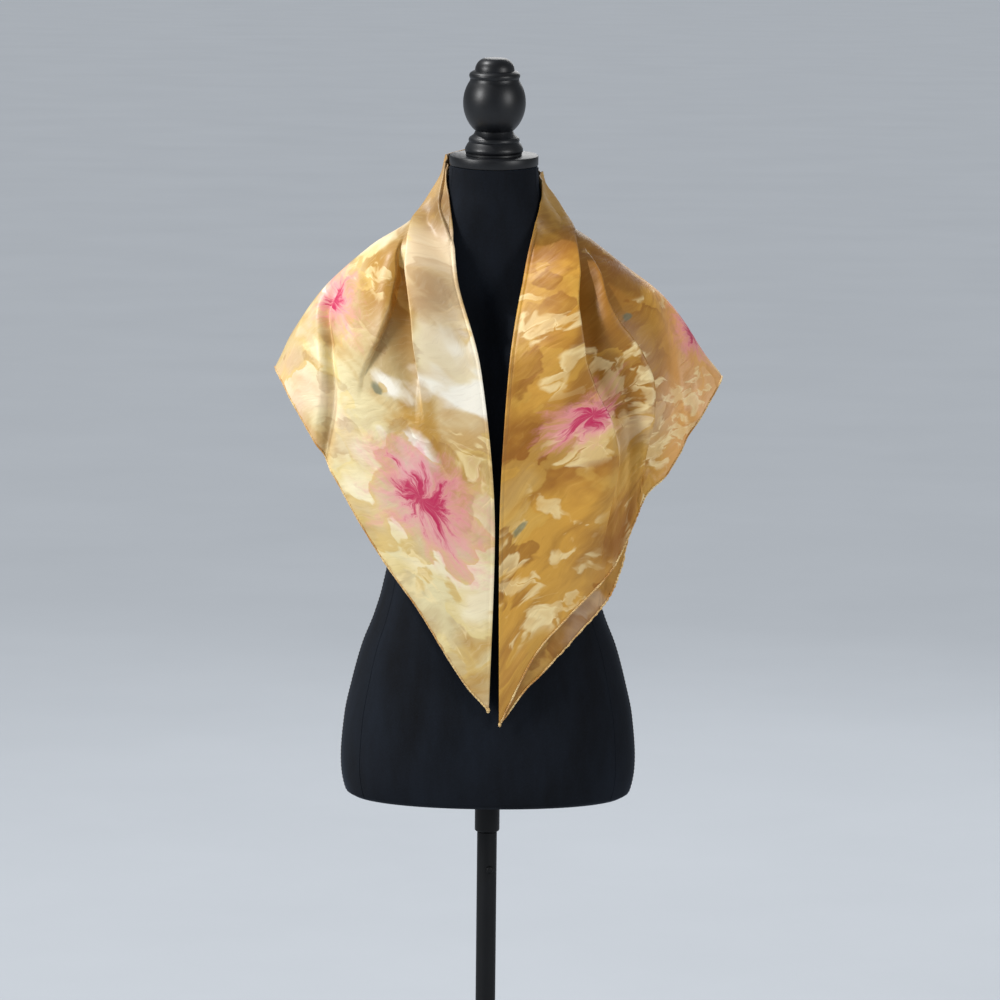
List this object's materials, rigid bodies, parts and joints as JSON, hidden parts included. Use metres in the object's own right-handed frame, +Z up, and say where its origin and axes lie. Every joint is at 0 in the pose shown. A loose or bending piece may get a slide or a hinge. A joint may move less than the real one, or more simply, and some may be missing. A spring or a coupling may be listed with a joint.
{
  "type": "silk square scarf on a dress form",
  "caption": "Square silk scarf folded corner to corner and worn over the shoulders of a limbless velvet dress form on a round-based stand, its points hanging side by side at the front.",
  "frame": {"origin": "centre of the stand base's underside, where it rests on the floor", "axes": "+Z up along the pole, +X to the right as seen from the front, +Y to the back of the form"},
  "size_m": [0.535, 0.3, 1.4377],
  "materials": {
    "silk": "satin silk, dyed gold, ochre, cream and raspberry",
    "silk_under": "satin silk, dyed deeper ochre",
    "velvet": "blue-black velvet",
    "lacquered_wood": "black satin lacquer",
    "stand_metal": "black powder coat"
  },
  "bodies": {
    "root": {"scarf_upper_layer": "silk", "scarf_under_layer": "silk_under", "form_torso": "velvet", "neck_cap": "lacquered_wood", "finial": "lacquered_wood", "pole_socket": "stand_metal", "pole": "stand_metal", "stand_base": "stand_metal"}
  },
  "joints": []
}
